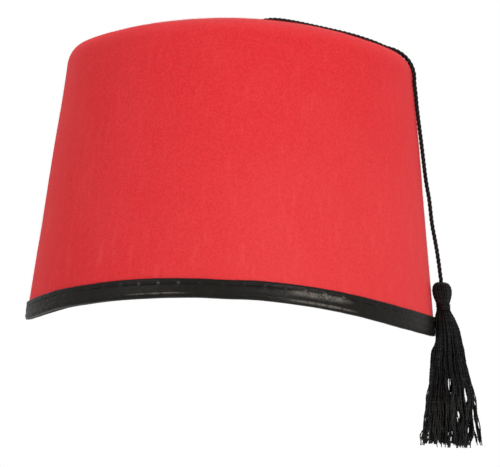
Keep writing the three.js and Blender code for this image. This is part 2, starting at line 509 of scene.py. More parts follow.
def group_tree(name, kind, inputs, outputs):
    """An empty node group. An input is given by its default, or by a word for its kind."""
    tree = bpy.data.node_groups.new(name, kind)
    for label, default in inputs.items():
        plain = isinstance(default, str)
        sort = default if plain else {float: "Float", int: "Int"}[type(default)]
        socket = tree.interface.new_socket(
            label, in_out="INPUT", socket_type="NodeSocket" + sort)
        if not plain:
            socket.default_value = default
    for label, sort in outputs.items():
        tree.interface.new_socket(label, in_out="OUTPUT", socket_type="NodeSocket" + sort)
    enter = tree.nodes.new("NodeGroupInput")
    leave = tree.nodes.new("NodeGroupOutput")
    return Tree(tree), enter.outputs, leave


def apply_nodes(piece, tree, name, material, **inputs):
    """Runs a geometry tree on a piece and returns its result as a plain mesh object."""
    inputs["Material"] = material
    modifier = piece.modifiers.new("Shape", "NODES")
    modifier.node_group = tree
    for item in tree.interface.items_tree:
        if item.in_out == "INPUT" and item.name in inputs:
            modifier[item.identifier] = inputs[item.name]
    graph = bpy.context.evaluated_depsgraph_get()
    mesh = bpy.data.meshes.new_from_object(piece.evaluated_get(graph))
    source = piece.data
    bpy.data.objects.remove(piece)
    bpy.data.meshes.remove(source)
    mesh.name = name
    if not mesh.materials:
        mesh.materials.append(material)
    return link_object(name, mesh)


def yarn_tree():
    """Sweeps a slightly flat, twisted yarn along every line of a wire mesh."""
    g, given, leave = group_tree(
        "yarn along lines", "GeometryNodeTree",
        {"Geometry": "Geometry", "Diameter": 0.001, "Flatness": 0.7, "Lead": 0.004, "Sides": 6,
         "Material": "Material"},
        {"Geometry": "Geometry"})
    lines = g.add("GeometryNodeMeshToCurve", Mesh=given["Geometry"])
    span = g.add("GeometryNodeSplineParameter")
    turns = g.maths("DIVIDE", span.outputs["Length"], given["Lead"])
    tilt = g.maths("MULTIPLY", turns, 2 * math.pi)
    twisted = g.add("GeometryNodeSetCurveTilt", Curve=lines, Tilt=tilt)
    stored = g.add(
        "GeometryNodeStoreNamedAttribute", {"data_type": "FLOAT", "domain": "POINT"},
        Geometry=twisted, Name="along", Value=span.outputs["Length"])
    taper = g.add("GeometryNodeInputNamedAttribute", {"data_type": "FLOAT"}, Name="taper")
    ring = g.add("GeometryNodeCurvePrimitiveCircle", {"mode": "RADIUS"})
    g.put(ring.inputs["Resolution"], given["Sides"])
    radius = g.maths("MULTIPLY", given["Diameter"], 0.5)
    g.put(ring.inputs["Radius"], radius)
    flat = g.add("ShaderNodeCombineXYZ", X=1.0, Y=given["Flatness"], Z=1.0)
    oval = g.add("GeometryNodeTransform", Geometry=ring.outputs[0], Scale=flat.outputs[0])
    turn = g.add("GeometryNodeSplineParameter")
    marked = g.add(
        "GeometryNodeStoreNamedAttribute", {"data_type": "FLOAT", "domain": "POINT"},
        Geometry=oval, Name="around", Value=turn.outputs["Factor"])
    swept = g.add("GeometryNodeCurveToMesh", Curve=stored, Profile_Curve=marked, Fill_Caps=True)
    if "Scale" in swept.inputs:
        g.put(swept.inputs["Scale"], taper.outputs[0])
    smooth = g.add("GeometryNodeSetShadeSmooth", Geometry=swept)
    real = g.add("GeometryNodeRealizeInstances", Geometry=smooth)
    done = g.add("GeometryNodeSetMaterial", Geometry=real, Material=given["Material"])
    g.put(leave.inputs[0], done)
    return g.tree


def fuzz_tree():
    """Stands short fibres on a surface, leaning every way."""
    g, given, leave = group_tree(
        "loose fibres", "GeometryNodeTree",
        {"Geometry": "Geometry", "Density": 1e5, "Length": 0.001, "Width": 0.00003, "Lean": 1.0,
         "Seed": 1, "Material": "Material"},
        {"Geometry": "Geometry"})
    spots = g.add(
        "GeometryNodeDistributePointsOnFaces", {"distribute_method": "RANDOM"},
        Mesh=given["Geometry"], Density=given["Density"],
        Seed=given["Seed"])
    fibre = g.add(
        "GeometryNodeMeshCone", {"fill_type": "NGON"}, Vertices=3, Side_Segments=1,
        Fill_Segments=1, Radius_Top=0.0, Radius_Bottom=given["Width"],
        Depth=given["Length"])

    def drawn(seed, least, most):
        draw = g.add("FunctionNodeRandomValue", {"data_type": "FLOAT"}, Seed=seed)
        g.put(draw.inputs[2], least)
        g.put(draw.inputs[3], most)
        return draw.outputs[1]

    least = g.maths("MULTIPLY", given["Lean"], -1.0)
    sideways, forwards = (drawn(seed, least, given["Lean"]) for seed in (3, 4))
    lean = g.add("ShaderNodeCombineXYZ", X=sideways, Y=forwards, Z=0.0)
    bent = g.add(
        "FunctionNodeRotateRotation", {"rotation_space": "LOCAL"},
        Rotation=spots.outputs["Rotation"], Rotate_By=lean.outputs[0])
    placed = g.add(
        "GeometryNodeInstanceOnPoints", Points=spots.outputs["Points"],
        Instance=fibre.outputs["Mesh"], Rotation=bent.outputs[0],
        Scale=drawn(5, 0.45, 1.2))
    real = g.add("GeometryNodeRealizeInstances", Geometry=placed)
    done = g.add("GeometryNodeSetMaterial", Geometry=real, Material=given["Material"])
    g.put(leave.inputs[0], done)
    return g.tree


def stitch_tree():
    """Lays one bent dash of thread at each point, along its tangent and off its normal."""
    g, given, leave = group_tree(
        "stitches", "GeometryNodeTree",
        {"Geometry": "Geometry", "Length": 0.007, "Thread": 0.0005, "Rise": 0.0004,
         "Material": "Material"},
        {"Geometry": "Geometry"})
    half = g.maths("MULTIPLY", given["Length"], 0.5)
    back = g.maths("MULTIPLY", half, -1.0)
    sunk = g.maths("MULTIPLY", given["Rise"], -1.0)
    first = g.add("ShaderNodeCombineXYZ", X=back, Y=0.0, Z=sunk)
    last = g.add("ShaderNodeCombineXYZ", X=half, Y=0.0, Z=sunk)
    lead = g.add("ShaderNodeCombineXYZ", X=g.maths("MULTIPLY", half, -0.8), Y=0.0,
                 Z=given["Rise"])
    trail = g.add("ShaderNodeCombineXYZ", X=g.maths("MULTIPLY", half, 0.8), Y=0.0,
                  Z=given["Rise"])
    dash = g.add("GeometryNodeCurvePrimitiveBezierSegment", {"mode": "POSITION"},
                 Resolution=10, Start=first.outputs[0], End=last.outputs[0],
                 Start_Handle=lead.outputs[0], End_Handle=trail.outputs[0])
    thick = g.maths("MULTIPLY", given["Thread"], 0.5)
    ring = g.add("GeometryNodeCurvePrimitiveCircle", {"mode": "RADIUS"}, Resolution=8, Radius=thick)
    tube = g.add("GeometryNodeCurveToMesh", Curve=dash, Profile_Curve=ring.outputs[0],
                 Fill_Caps=True)
    tangent = g.add("GeometryNodeInputNamedAttribute", {"data_type": "FLOAT_VECTOR"},
                    Name="tangent")
    outward = g.add("GeometryNodeInputNamedAttribute", {"data_type": "FLOAT_VECTOR"},
                    Name="outward")
    turned = g.add("FunctionNodeAxesToRotation", {"primary_axis": "X", "secondary_axis": "Z"},
                   Primary_Axis=tangent.outputs[0], Secondary_Axis=outward.outputs[0])
    placed = g.add("GeometryNodeInstanceOnPoints", Points=given["Geometry"],
                   Instance=tube.outputs[0], Rotation=turned.outputs[0])
    smooth = g.add("GeometryNodeSetShadeSmooth", Geometry=placed)
    real = g.add("GeometryNodeRealizeInstances", Geometry=smooth)
    done = g.add("GeometryNodeSetMaterial", Geometry=real, Material=given["Material"])
    g.put(leave.inputs[0], done)
    return g.tree


# ---------------------------------------------------------------- finishes


def fibre_group():
    """Values for pressed or spun fibres: soft mottles, long streaks and a fine height."""
    g, given, leave = group_tree(
        "fibre field", "ShaderNodeTree",
        {"Vector": "Vector", "Mottle Scale": 400.0, "Streak Scale": 300.0,
         "Streak Stretch": 0.15, "Fine Scale": 2500.0},
        {"Mottle": "Float", "Streak": "Float", "Height": "Float"})
    vector = given["Vector"]
    mottle = g.add("ShaderNodeTexNoise", Vector=vector, Scale=given["Mottle Scale"],
                   Detail=3.0, Roughness=0.6)
    squash = g.add("ShaderNodeCombineXYZ", X=1.0, Y=1.0, Z=given["Streak Stretch"])
    long_way = g.add("ShaderNodeVectorMath", {"operation": "MULTIPLY"}, in0=vector,
                     in1=squash.outputs[0])
    streak = g.add("ShaderNodeTexNoise", Vector=long_way, Scale=given["Streak Scale"],
                   Detail=2.0, Roughness=0.55)
    fine = g.add("ShaderNodeTexNoise", Vector=vector, Scale=given["Fine Scale"],
                 Detail=2.0, Roughness=0.7, Distortion=1.5)
    both = g.maths("MULTIPLY_ADD", mottle.outputs[0], 0.8, fine.outputs[0])
    height = g.maths("MULTIPLY_ADD", streak.outputs[0], 0.3, both)
    g.put(leave.inputs["Mottle"], mottle.outputs[0])
    g.put(leave.inputs["Streak"], streak.outputs[0])
    g.put(leave.inputs["Height"], height)
    return g.tree


def new_material(name):
    material = bpy.data.materials.new(name)
    material.use_nodes = True
    nodes = material.node_tree.nodes
    nodes.clear()
    t = Tree(material.node_tree)
    shader = t.add("ShaderNodeBsdfPrincipled")
    leave = t.add("ShaderNodeOutputMaterial", Surface=shader)
    leave.is_active_output = True
    return material, t, shader, t.add("ShaderNodeTexCoord").outputs["Object"]


def settle(shader, **values):
    """Sets constants on the shader's own sockets."""
    for key, value in values.items():
        shader.inputs[key.replace("_", " ")].default_value = value


def cloud(t, place, scale, detail, roughness=0.5, distortion=0.0):
    """Noise in the piece's own space."""
    return t.add("ShaderNodeTexNoise", Vector=place, Scale=scale, Detail=detail,
                 Roughness=roughness, Distortion=distortion).outputs[0]


def relief(t, shader, strength, distance, height):
    bump = t.add("ShaderNodeBump", Strength=strength, Distance=distance, Height=height)
    t.put(shader.inputs["Normal"], bump)


def ramp(t, value, low, high):
    """Spreads a value between two limits over 0 to 1."""
    return t.add("ShaderNodeMapRange", {"interpolation_type": "SMOOTHSTEP"},
                 in0=value, in1=low, in2=high, in3=0.0, in4=1.0).outputs[0]


def mix(t, part, first, second):
    node = t.add("ShaderNodeMix", {"data_type": "RGBA"})
    t.put(node.inputs[0], part)
    t.put(node.inputs[6], first)
    t.put(node.inputs[7], second)
    return node.outputs[2]


def shade(rgb, factor):
    return tuple(min(1.0, c * factor) for c in rgb) + (1.0,)


def solid(rgb):
    return tuple(rgb) + (1.0,)


def felt_material(crown, fibres):
    material, t, shader, place = new_material("red felt")
    field = t.add("ShaderNodeGroup", {"node_tree": fibres}, Vector=place,
                  Mottle_Scale=FELT_MOTTLE_SCALE, Streak_Scale=FELT_STREAK_SCALE,
                  Streak_Stretch=0.16, Fine_Scale=FELT_FINE_SCALE)
    broad = cloud(t, place, 28.0, 2.0)
    dark = shade(crown.felt_colour, 0.95)
    base = solid(crown.felt_colour)
    deep = shade(crown.felt_colour, 0.72)
    light = solid(crown.light_colour)
    spots = ramp(t, field.outputs["Mottle"], 0.38, 0.62)
    body = mix(t, spots, dark, base)
    streaks = ramp(t, field.outputs["Streak"], 0.52, 0.74)
    where = t.add("ShaderNodeSeparateXYZ", Vector=place).outputs
    height, across = where["Z"], where["X"]
    low = ramp(t, height, 0.095, 0.02)
    streaks = t.maths("MULTIPLY", streaks, t.maths("MULTIPLY_ADD", low, 0.14, 0.10))
    body = mix(t, streaks, body, light)
    patch = t.maths("MULTIPLY", ramp(t, broad, 0.45, 0.72), 0.10)
    body = mix(t, patch, body, light)
    # Painted highlight: the felt is mixed towards its light colour low on the wall and to the
    # right, where the key light shines back.
    painted_highlight_patch = t.maths("MULTIPLY", ramp(t, height, 0.13, 0.03), ramp(t, across, -0.09, 0.03))
    body = mix(t, t.maths("MULTIPLY", painted_highlight_patch, 0.24), body, light)
    grain = cloud(t, place, FELT_GRAIN_SCALE, 2.0, 0.7)
    for low, high, part, tone in ((0.40, 0.66, 0.22, light), (0.50, 0.30, 0.15, deep)):
        body = mix(t, t.maths("MULTIPLY", ramp(t, grain, low, high), part), body, tone)
    t.put(shader.inputs["Base Color"], body)
    settle(shader, Roughness=0.74, Specular_IOR_Level=0.22, Sheen_Weight=0.02,
           Sheen_Roughness=0.45, Sheen_Tint=(1.0, 0.45, 0.45, 1.0))
    relief(t, shader, 0.55, FELT_BUMP, field.outputs["Height"])
    return material


def fuzz_material(crown):
    material, t, shader, place = new_material("red felt fibres")
    part = ramp(t, cloud(t, place, 700.0, 1.0), 0.4, 0.7)
    body = mix(t, part, solid(crown.felt_colour), solid(crown.light_colour))
    t.put(shader.inputs["Base Color"], body)
    settle(shader, Roughness=0.8, Specular_IOR_Level=0.2)
    return material


def vinyl_material(binding):
    material, t, shader, place = new_material("black vinyl")
    grain = cloud(t, place, 1400.0, 3.0, 0.6)
    crease = cloud(t, place, 260.0, 3.0, 0.65, 0.6)
    base = solid(binding.vinyl_colour)
    worn = shade(binding.vinyl_colour, 2.2)
    part = t.maths("MULTIPLY", ramp(t, crease, 0.45, 0.75), 0.35)
    body = mix(t, part, base, worn)
    # Painted highlights: the vinyl is lightened where the binding's mesh marks them, broken up by
    # noise.
    rub = t.add("ShaderNodeAttribute", {"attribute_name": "rub"}).outputs["Fac"]
    coarse = t.maths("MULTIPLY_ADD", ramp(t, crease, 0.40, 0.60), 0.35, 0.15)
    blotch = t.maths("MULTIPLY_ADD", ramp(t, grain, 0.42, 0.58), 0.5, coarse)
    rub = t.maths("MULTIPLY", ramp(t, rub, 0.2, 1.0), blotch)
    body = mix(t, rub, body, solid(binding.rubbed_colour))
    t.put(shader.inputs["Base Color"], body)
    rough = t.maths("MULTIPLY_ADD", ramp(t, grain, 0.35, 0.7), 0.14, 0.40)
    t.put(shader.inputs["Roughness"], rough)
    settle(shader, Specular_IOR_Level=0.15)
    relief(t, shader, 0.25, FINE_BUMP, t.maths("MULTIPLY_ADD", crease, 2.0, grain))
    return material


def yarn_material(name, main_colour, lower_tuft_colour, sheen, turns):
    """Black twisted yarn: fibres wind round it, read from its own length and turn."""
    material, t, shader, place = new_material(name)
    along = t.add("ShaderNodeAttribute", {"attribute_name": "along"}).outputs["Fac"]
    around = t.add("ShaderNodeAttribute", {"attribute_name": "around"}).outputs["Fac"]
    wound = t.maths("MULTIPLY_ADD", along, FIBRES_PER_METRE, t.maths("MULTIPLY", around, turns))
    wave = t.maths("SINE", t.maths("MULTIPLY", wound, 2 * math.pi))
    spread = cloud(t, place, 900.0, 2.0, 0.6)
    base = solid(main_colour)
    pale = shade(main_colour, 2.6)
    body = mix(t, ramp(t, spread, 0.45, 0.75), base, pale)
    height = t.add("ShaderNodeSeparateXYZ", Vector=place).outputs["Z"]
    tufts = ramp(t, cloud(t, place, 170.0, 1.0), 0.42, 0.62)
    # Lighter brownish tufts, more of them towards the bottom of the skirt.
    lower_tuft_mask = t.maths("MULTIPLY", ramp(t, height, -0.012, -0.045), tufts)
    t.put(shader.inputs["Base Color"], mix(t, lower_tuft_mask, body, solid(lower_tuft_colour)))
    t.put(shader.inputs["Roughness"], t.maths("MULTIPLY_ADD", spread, 0.25, 0.32))
    settle(shader, Specular_IOR_Level=0.22, Sheen_Weight=sheen, Sheen_Roughness=0.35)
    relief(t, shader, 0.6, FINE_BUMP, t.maths("MULTIPLY_ADD", wave, 0.5, spread))
    return material


def floor_material():
    material, t, shader, place = new_material("pale floor")
    tone = mix(t, cloud(t, place, 1.5, 2.0), solid((0.86,) * 3), solid((0.90,) * 3))
    t.put(shader.inputs["Base Color"], tone)
    settle(shader, Roughness=0.8)
    return material


made = {}


def finish_of(name, build):
    """Builds a material or a tree once, and gives the same one after that."""
    if name not in made:
        made[name] = build()
    return made[name]


def black_yarn(tassel):
    return finish_of("yarn", lambda: yarn_material(
        "black yarn", tassel.yarn_colour, tassel.lower_tuft_colour, 0.04, 3.0))


# ---------------------------------------------------------------- crown


def bow_rise(crown, x, y, z):
    """How far a point of the turned form is lifted by the bend of the rim and the top."""
    up = np.clip(z / crown.corner_height, 0.0, 1.0)
    wall = crown.rim_radius - crown.taper * z
    rim_rise = crown.rim_bow - crown.rim_skew * x / wall
    bent = (rim_rise * (1.0 - up) + crown.corner_bow * up) * (y / wall) ** 2
    return bent + np.clip(1.0 - 2.0 * up, 0.0, 1.0) * between(RIM_KINKS, x)


def shoulder(crown):
    """Centre of the shoulder's arc, where it starts and ends, and the dome over the top."""
    corner = crown.rim_radius - crown.taper * crown.corner_height
    rise = crown.top_height - crown.corner_height
    dome = (corner ** 2 + rise ** 2) / (2 * rise)
    dome_z = crown.top_height - dome
    span = crown.rim_radius - crown.corner_round * math.hypot(1, crown.taper)
    a = crown.taper ** 2 + 1
    b = -2 * crown.taper * span - 2 * dome_z
    c = span ** 2 + dome_z ** 2 - (dome - crown.corner_round) ** 2
    z = (-b + math.sqrt(b * b - 4 * a * c)) / (2 * a)
    radius = span - crown.taper * z
    return radius, z, math.atan(crown.taper), math.atan2(z - dome_z, radius), dome, dome_z


def crown_section(crown, inset, low, hole, steps):
    """Radius and height up the wall, round the shoulder and over the top to the hole."""
    wall_steps, corner_steps, top_steps = steps
    radius, z, from_wall, to_dome, dome, dome_z = shoulder(crown)
    corner = crown.corner_round - inset
    wall_top = z + corner * math.sin(from_wall)
    heights = np.linspace(low, wall_top, wall_steps, endpoint=False)
    wall_inset = inset * math.hypot(1, crown.taper)
    rows = [(crown.rim_radius - wall_inset - crown.taper * h, h) for h in heights]
    for angle in np.linspace(from_wall, to_dome, corner_steps, endpoint=False):
        rows.append((radius + corner * math.cos(angle), z + corner * math.sin(angle)))
    over = dome - inset
    for angle in np.linspace(to_dome, math.acos(hole / over), top_steps):
        radius = over * math.cos(angle)
        pull = crown.dimple_depth * max(0.0, 1 - radius / crown.dimple_radius) ** 2
        rows.append((radius, dome_z + over * math.sin(angle) - pull))
    return np.array(rows)


def turned(crown, section, segments):
    """The section turned about Z and bowed, as points in columns round the hat."""
    angles = np.linspace(0, 2 * np.pi, segments, endpoint=False)
    x = np.outer(np.cos(angles), section[:, 0])
    y = np.outer(np.sin(angles), section[:, 0])
    z = np.broadcast_to(section[:, 1], x.shape)
    return np.stack([x, y, z + bow_rise(crown, x, y, z)], axis=2)


def uneven(points, depth):
    """How far the felt's surface swells or sinks at each point."""
    lift = []
    for p in points:
        wide = noise.noise(Vector(p) * 32.0)
        close = noise.noise(Vector(p) * 120.0 + Vector((7.0, 3.0, 1.0)))
        lift.append(depth * (1.4 * wide + 0.45 * close))
    return np.array(lift)


def felt_shell(crown, material):
    segments = FELT_COLUMNS
    outside = crown_section(crown, 0.0, FELT_EDGE, HOLE_RADIUS_OUTSIDE, (80, 14, 52))
    inside = crown_section(crown, crown.felt_thickness, FELT_EDGE, HOLE_RADIUS, (26, 7, 18))
    lip = np.array([(r, outside[-1, 1] - deep) for r, deep in HOLE_LIP])
    section = np.vstack([outside, lip, inside[::-1]])
    points = turned(crown, section, segments)
    flat = points.reshape(-1, 3)
    profile = np.gradient(section, axis=0)
    outward = np.stack([profile[:, 1], -profile[:, 0]], axis=1)
    outward /= np.linalg.norm(outward, axis=1)[:, None]
    angles = np.linspace(0, 2 * np.pi, segments, endpoint=False)
    ring = np.stack([np.cos(angles), np.sin(angles)], axis=1)
    normal = np.zeros_like(points)
    normal[:, :, :2] = ring[:, None, :] * outward[None, :, 0, None]
    normal[:, :, 2] = outward[None, :, 1]
    shown = np.zeros(len(section))
    shown[: len(outside)] = 1.0
    shown[: 6] = np.linspace(0, 1, 6)
    shown[len(outside) - 4: len(outside)] = np.linspace(1, 0, 4)
    lift = uneven(flat, crown.lump).reshape(points.shape[:2]) * shown[None, :]
    points = points + normal * lift[:, :, None]
    faces = grid_faces(len(section), segments)
    return link_mesh("crown_felt", points.reshape(-1, 3), faces, material)


def fuzz_patch(crown, low, high):
    """An open copy of part of the felt's outside, for the fibres to stand on."""
    section = crown_section(crown, 0.0, 0.0092, 0.0050, (40, 8, 30))
    section = section[(section[:, 1] >= low) & (section[:, 1] <= high)]
    points = turned(crown, section, FUZZ_COLUMNS).reshape(-1, 3)
    faces = grid_faces(len(section), FUZZ_COLUMNS, close_rows=False)
    return link_mesh("fuzz base", points, faces, None)


def surface_area(piece):
    return sum(face.area for face in piece.data.polygons)


class FEZ_OT_crown(bpy.types.Operator):
    """Makes the felt crown and the fibres that stand off it"""

    bl_idname = "fez.crown"
    bl_label = "Crown"

    def execute(self, context):
        crown = context.scene.fez_crown
        fibres = finish_of("fibres", fibre_group)
        felt = felt_shell(crown, felt_material(crown, fibres))
        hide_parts("crown")
        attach(felt, BODY)
        tree = finish_of("fuzz", fuzz_tree)
        material = fuzz_material(crown)
        split = crown.corner_height * 0.9
        for name, low, high, share in (
                ("wall_fuzz", 0.0, split, 1.0), ("top_fuzz", split, 1.0, 0.45)):
            base = fuzz_patch(crown, low, high)
            density = crown.fuzz_count * share / surface_area(base)
            fuzz = apply_nodes(
                base, tree, name, material, Density=density, Length=crown.fuzz_length,
                Width=FUZZ_WIDTH, Lean=1.25, Seed=11)
            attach(fuzz, BODY)
        return {"FINISHED"}


# ---------------------------------------------------------------- binding


def binding_rows(binding, crown):
    """The binding's closed section: stand-off from the felt's outside, height, and how much
    each row puckers."""
    face = np.array(BINDING_FACE)
    rows = [(off, z, 1.0) for z, off in face]
    top = binding.height
    rows.append((0.00045, top, 0.3))
    rows.append((0.00022, top - 0.0001, 0.0))
    rows += [(0.00018, z, 0.0) for z in (top - 0.0012, 0.005, 0.0014)]
    back = -crown.felt_thickness
    rows.append((0.00005, 0.00085, 0.0))
    rows.append((back - 0.00005, 0.00085, 0.0))
    high = binding.inside_height
    rows += [(back - 0.00018, z, 0.0) for z in (0.0014, 0.005, high - 0.0012)]
    rows.append((back - 0.00022, high - 0.0001, 0.0))
    rows.append((back - 0.00045, high, 0.2))
    rows += [(back - off, z * high / top, 0.5) for z, off in face[::-1][1:]]
    rows.append((back - 0.00015, 0.00012, 0.1))
    rows.append((back * 0.5, 0.0, 0.0))
    rows.append((0.00005, 0.00012, 0.1))
    return np.array(rows)


def pucker(binding, turn, height):
    """How far the stitches pull the vinyl in or let it rise, at a turn and a height."""
    phase = turn * binding.stitches - binding.stitch_start
    between = np.abs(phase - np.round(phase)) * 2.0
    gap = np.clip((between - 0.74) / 0.20, 0.0, 1.0)
    gap = gap * gap * (3 - 2 * gap)
    line = np.exp(-((height - binding.stitch_height) / PUCKER_HALF_HEIGHT) ** 2)
    return line * (PUCKER_RISE * gap - PUCKER_DIP)


def rubbed(binding, turn, height):
    """How much highlight is painted on the vinyl: along its painted highlight marks, and as glints
    where it puckers between the stitches, most over the first mark.
    """
    worn = 0.0
    for place, reach, middle, width, strength in PAINTED_GLINT_MARKS:
        along = math.exp(-((turn - place) / reach) ** 4)
        worn += strength * along * math.exp(-((height - middle) / width) ** 2)
    first = PAINTED_GLINT_MARKS[0]
    phase = turn * binding.stitches - binding.stitch_start
    dot = math.exp(-((abs(phase - round(phase)) - 0.5) / 0.09) ** 2)
    dot *= math.exp(-((height - binding.stitch_height) / PUCKER_HALF_HEIGHT) ** 2)
    return worn + dot * (0.40 + 0.5 * math.exp(-((turn - first[0]) / first[1]) ** 4))


def binding_mesh(binding, crown, material):
    columns = binding.stitches * BINDING_COLUMNS_PER_STITCH
    rows = binding_rows(binding, crown)
    turns = np.arange(columns) / columns
    points, rub = [], []
    for turn in turns:
        angle = 2 * np.pi * turn
        around = Vector((math.cos(angle), math.sin(angle), 0.0))
        slow = noise.noise(around * 4.0 + Vector((0, 0, 5.0)))
        drop = 0.00012 * noise.noise(around * 9.0)
        share = between(BINDING_SHARE, crown.rim_radius * around.x)
        for off, z, loose in rows:
            here = around * 38.0 + Vector((0, 0, z * 260.0))
            crease = noise.noise(here + Vector((z * 900.0, 0, 0)))
            off += loose * (0.00012 * slow + 0.00022 * crease + pucker(binding, turn, z))
            # How much highlight is painted on this point of the outside face.
            rub.append(rubbed(binding, turn, z) if loose == 1.0 else 0.0)
            z = z * share + drop * (1.0 - 0.5 * loose)
            radius = crown.rim_radius - crown.taper * z + off
            x, y = radius * around.x, radius * around.y
            points.append((x, y, z + bow_rise(crown, x, y, z)))
    faces = grid_faces(len(rows), columns)
    vinyl = link_mesh("binding_vinyl", points, faces, material)
    mark(vinyl.data, "rub", rub)
    return vinyl


def stitch_points(binding, crown, name, off, height, shift):
    """One point for each stitch, with its tangent and its outward direction."""
    places, tangents, outwards = [], [], []
    for i in range(binding.stitches):
        angle = 2 * np.pi * (i + binding.stitch_start) / binding.stitches
        share = between(BINDING_SHARE, crown.rim_radius * math.cos(angle))
        ends = []
        for a in (angle - 0.01, angle, angle + 0.01):
            radius = crown.rim_radius - crown.taper * height * share + off
            x, y = radius * math.cos(a), radius * math.sin(a)
            ends.append(Vector((x, y, height * share + bow_rise(crown, x, y, height * share))))
        places.append(ends[1])
        tangents.append((ends[2] - ends[0]).normalized())
        outwards.append(Vector((math.cos(angle), math.sin(angle), crown.taper)) * shift)
    mesh = bpy.data.meshes.new(name)
    mesh.from_pydata(places, [], [])
    for label, values in (("tangent", tangents), ("outward", outwards)):
        mark(mesh, label, np.array(values).ravel(), "FLOAT_VECTOR")
    return link_object(name, mesh)


class FEZ_OT_binding(bpy.types.Operator):
    """Makes the vinyl binding round the rim and its stitches"""

    bl_idname = "fez.binding"
    bl_label = "Binding"

    def execute(self, context):
        crown, binding = context.scene.fez_crown, context.scene.fez_binding
        vinyl = binding_mesh(binding, crown, vinyl_material(binding))
        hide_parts("brim_binding")
        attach(vinyl, BODY)
        tree = finish_of("stitches", stitch_tree)
        thread = black_yarn(context.scene.fez_tassel)
        back = crown.felt_thickness
        for name, off, height, side in (
                ("outside_stitches", STITCH_STAND_OFF, binding.stitch_height, 1.0),
                ("inside_stitches", -back - STITCH_STAND_OFF, binding.stitch_height * 0.9, -1.0)):
            spots = stitch_points(binding, crown, name + " places", off, height, side)
            stitches = apply_nodes(
                spots, tree, name, thread, Length=binding.stitch_length,
                Thread=binding.thread, Rise=STITCH_RISE)
            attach(stitches, BODY)
        return {"FINISHED"}


# ---------------------------------------------------------------- cord and tassel


def tube_rows(line, radius, sides):
    """Rings of points round a line, and how far along it each ring is."""
    across, up = frames_along(line)
    angles = np.linspace(0, 2 * np.pi, sides, endpoint=False)
    rings = [centre + radius * (a * math.cos(angle) + b * math.sin(angle))
             for centre, a, b in zip(line, across, up) for angle in angles]
    return rings, distance_along(line)


def twisted_cord(name, line, diameter, lead, material, strands=3, sides=8):
    """A cord of strands laid round one line, each a closed tube."""
    strand = diameter / 2 / (1 + 2 / math.sqrt(3))
    offset = diameter / 2 - strand
    across, up = frames_along(line)
    along = distance_along(line)
    points, faces, lengths, turns = [], [], [], []
    for k in range(strands):
        angle = 2 * np.pi * (along / lead + k / strands)
        lane = line + offset * (across * np.cos(angle)[:, None] + up * np.sin(angle)[:, None])
        rings, step = tube_rows(lane, strand, sides)
        faces += ring_faces(len(points), len(lane), sides)
        points += rings
        lengths += [s for s in step for _ in range(sides)]
        turns += [j / sides for _ in step for j in range(sides)]
    cord = link_mesh(name, points, faces, material)
    mark(cord.data, "along", lengths)
    mark(cord.data, "around", turns)
    return cord


def strands_along(name, lines, diameter, flatness, tassel, yarn):
    """Yarn swept along lines, a little thinner at both ends of each."""
    points, edges, widths = [], [], []
    for line in lines:
        start = len(points)
        points += [tuple(p) for p in line]
        edges += [(start + i, start + i + 1) for i in range(len(line) - 1)]
        widths += [STRAND_END_WIDTH, *[1.0] * (len(line) - 2), STRAND_END_WIDTH]
    mesh = bpy.data.meshes.new(name + " lines")
    mesh.from_pydata(points, edges, [])
    mark(mesh, "taper", widths)
    return apply_nodes(
        link_object(mesh.name, mesh), finish_of("yarn lines", yarn_tree), name, yarn,
        Diameter=diameter, Flatness=flatness, Lead=tassel.yarn_lead, Sides=STRAND_SIDES)


def tassel_x(height):
    return look_up(TASSEL_LINE, height)


def skirt_lines(tassel):
    """The middle lines of the skirt's strands, from the neck down, drawn into locks."""
    rng = np.random.default_rng(tassel.seed)
    locks = tassel.locks
    lock_turn = (np.arange(locks) + rng.uniform(-0.35, 0.35, locks)) / locks * 2 * np.pi
    lock_share = rng.uniform(0.45, 1.0, locks)
    lock_end = rng.uniform(-0.0008, 0.0014, locks)
    top, bottom = SKIRT_FORM[-1][0] + 0.0004, tassel.skirt_end
    lines = []
    for i in range(tassel.skirt_strands):
        share = math.sqrt((i + 0.5) / tassel.skirt_strands)
        turn = i * GOLDEN_TURN + rng.normal(0, 0.15)
        away = np.angle(np.exp(1j * (lock_turn - turn)))
        near = int(np.argmin(np.abs(away) + 0.6 * np.abs(lock_share - share)))
        end = bottom + lock_end[near] + rng.uniform(-0.0006, 0.0012)
        heights = np.arange(top, end, -STRAND_STEP)
        fall = (top - heights) / (top - bottom)
        pull = tassel.lock_pull * (0.30 * fall ** 2 + 0.70 * fall ** 7)
        drawn = turn + away[near] * pull + rng.normal(0, 0.13) * fall ** 1.5
        reach = share + (lock_share[near] - share) * pull
        reach = reach * (1 + rng.normal(0, 0.03) * fall)
        wave = rng.uniform(0.006, 0.013)
        phase = rng.random(2) * 2 * np.pi
        sway = rng.uniform(0.0001, 0.00050) * fall
        form = look_up(SKIRT_FORM, heights) - 0.0005 * np.exp(-14 * fall) + 0.0008 * fall ** 2
        x = tassel_x(heights) + reach * form * np.cos(drawn)
        y = TASSEL_Y + reach * form * np.sin(drawn)
        x = x + sway * np.sin(2 * np.pi * heights / wave + phase[0])
        y = y + sway * np.sin(2 * np.pi * heights / wave + phase[1])
        x, y = draped(parted(x, heights), y, heights)
        lines.append(np.stack([x, y, heights], axis=1))
    return lines


def draped(x, y, heights):
    """Moves strands out over the binding, where they would run into it."""
    limit = RIM_CLEAR - RIM_CLEAR_TAPER * heights
    near = np.clip(1 + heights / CLEAR_FADE, 0, 1)
    out = 1 + near * (np.maximum(limit / np.hypot(x, y), 1) - 1)
    return x * out, y * out


